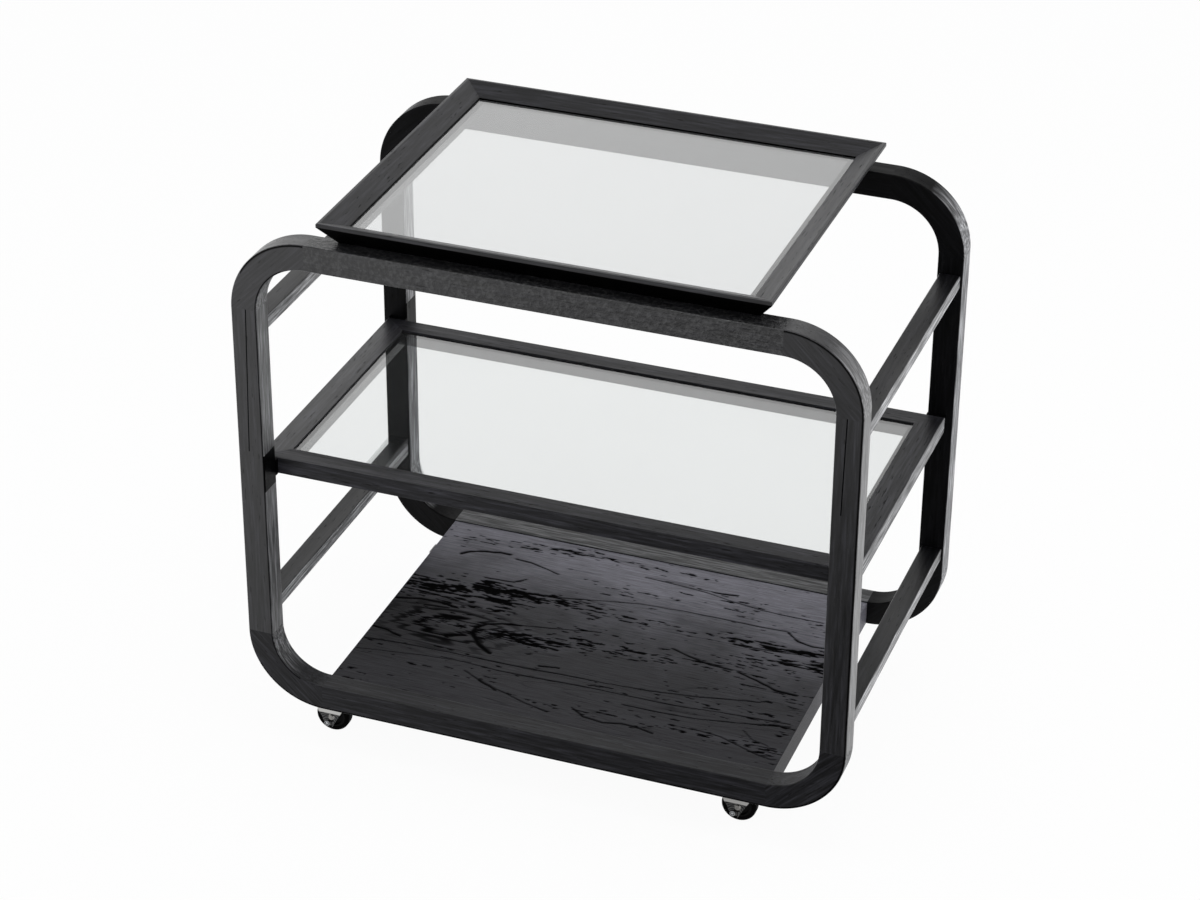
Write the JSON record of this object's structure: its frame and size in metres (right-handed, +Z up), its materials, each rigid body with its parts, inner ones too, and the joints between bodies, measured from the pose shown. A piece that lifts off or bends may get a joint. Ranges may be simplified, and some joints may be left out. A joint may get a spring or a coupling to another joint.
{
  "type": "serving trolley",
  "caption": "Serving trolley with rounded timber ring frames, glazed middle shelf, solid bottom board, lift-off glazed tray on top and swivel casters.",
  "frame": {"origin": "on the floor under the middle of the trolley", "axes": "+X along the width to the right, +Y along the depth from the front ring to the back ring, +Z up"},
  "size_m": [0.8, 0.48, 0.759],
  "materials": {
    "stained_wood": "black stain under satin lacquer",
    "board_wood": "black stain, open grain",
    "clear_glass": "clear polished float glass",
    "beech": "bare turned beech",
    "zinc": "zinc plated",
    "nickel": "nickel plated pressed steel",
    "hub_plastic": "moulded black plastic",
    "rubber": "smooth black rubber"
  },
  "bodies": {
    "frame": {"front_top_rail": "stained_wood", "front_bottom_rail": "stained_wood", "back_top_rail": "stained_wood", "back_bottom_rail": "stained_wood", "front_left_post": "stained_wood", "front_right_post": "stained_wood", "back_left_post": "stained_wood", "back_right_post": "stained_wood", "front_top_left_corner": "stained_wood", "front_top_right_corner": "stained_wood", "front_bottom_left_corner": "stained_wood", "front_bottom_right_corner": "stained_wood", "back_top_left_corner": "stained_wood", "back_top_right_corner": "stained_wood", "back_bottom_left_corner": "stained_wood", "back_bottom_right_corner": "stained_wood", "upper_left_side_rail": "stained_wood", "upper_right_side_rail": "stained_wood", "lower_left_side_rail": "stained_wood", "lower_right_side_rail": "stained_wood", "shelf_front_rail": "stained_wood", "shelf_back_rail": "stained_wood", "shelf_left_rail": "stained_wood", "shelf_right_rail": "stained_wood", "shelf_glass": "clear_glass", "shelf_spacers": "stained_wood", "bottom_board": "board_wood", "ring_dowels": "beech", "frame_dowels": "beech", "caster_screws": "zinc", "caster_plate_front_left": "nickel", "caster_kingpin_front_left": "nickel", "caster_plate_front_right": "nickel", "caster_kingpin_front_right": "nickel", "caster_plate_back_left": "nickel", "caster_kingpin_back_left": "nickel", "caster_plate_back_right": "nickel", "caster_kingpin_back_right": "nickel"},
    "tray": {"tray_front": "stained_wood", "tray_back": "stained_wood", "tray_left": "stained_wood", "tray_right": "stained_wood", "tray_glass": "clear_glass"},
    "swivel_front_left": {"caster_fork_front_left": "nickel", "caster_axle_front_left": "nickel"},
    "wheel_front_left": {"caster_hub_front_left": "hub_plastic", "caster_tyre_front_left": "rubber"},
    "swivel_front_right": {"caster_fork_front_right": "nickel", "caster_axle_front_right": "nickel"},
    "wheel_front_right": {"caster_hub_front_right": "hub_plastic", "caster_tyre_front_right": "rubber"},
    "swivel_back_left": {"caster_fork_back_left": "nickel", "caster_axle_back_left": "nickel"},
    "wheel_back_left": {"caster_hub_back_left": "hub_plastic", "caster_tyre_back_left": "rubber"},
    "swivel_back_right": {"caster_fork_back_right": "nickel", "caster_axle_back_right": "nickel"},
    "wheel_back_right": {"caster_hub_back_right": "hub_plastic", "caster_tyre_back_right": "rubber"}
  },
  "joints": [
    {"name": "tray_lift", "type": "slide", "parent": "frame", "child": "tray", "axis": [0, 0, 1], "range_m": [0, 0.25]},
    {"name": "swivel_front_left", "type": "hinge", "parent": "frame", "child": "swivel_front_left", "pos_m": [-0.28, -0.188, 0.0557], "axis": [0, 0, 1], "continuous": true},
    {"name": "roll_front_left", "type": "hinge", "parent": "swivel_front_left", "child": "wheel_front_left", "pos_m": [-0.3075, -0.188, 0.023], "axis": [0, 1, 0], "continuous": true},
    {"name": "swivel_front_right", "type": "hinge", "parent": "frame", "child": "swivel_front_right", "pos_m": [0.28, -0.188, 0.0557], "axis": [0, 0, 1], "continuous": true},
    {"name": "roll_front_right", "type": "hinge", "parent": "swivel_front_right", "child": "wheel_front_right", "pos_m": [0.2525, -0.188, 0.023], "axis": [0, 1, 0], "continuous": true},
    {"name": "swivel_back_left", "type": "hinge", "parent": "frame", "child": "swivel_back_left", "pos_m": [-0.28, 0.188, 0.0557], "axis": [0, 0, 1], "continuous": true},
    {"name": "roll_back_left", "type": "hinge", "parent": "swivel_back_left", "child": "wheel_back_left", "pos_m": [-0.3075, 0.188, 0.023], "axis": [0, 1, 0], "continuous": true},
    {"name": "swivel_back_right", "type": "hinge", "parent": "frame", "child": "swivel_back_right", "pos_m": [0.28, 0.188, 0.0557], "axis": [0, 0, 1], "continuous": true},
    {"name": "roll_back_right", "type": "hinge", "parent": "swivel_back_right", "child": "wheel_back_right", "pos_m": [0.2525, 0.188, 0.023], "axis": [0, 1, 0], "continuous": true}
  ]
}
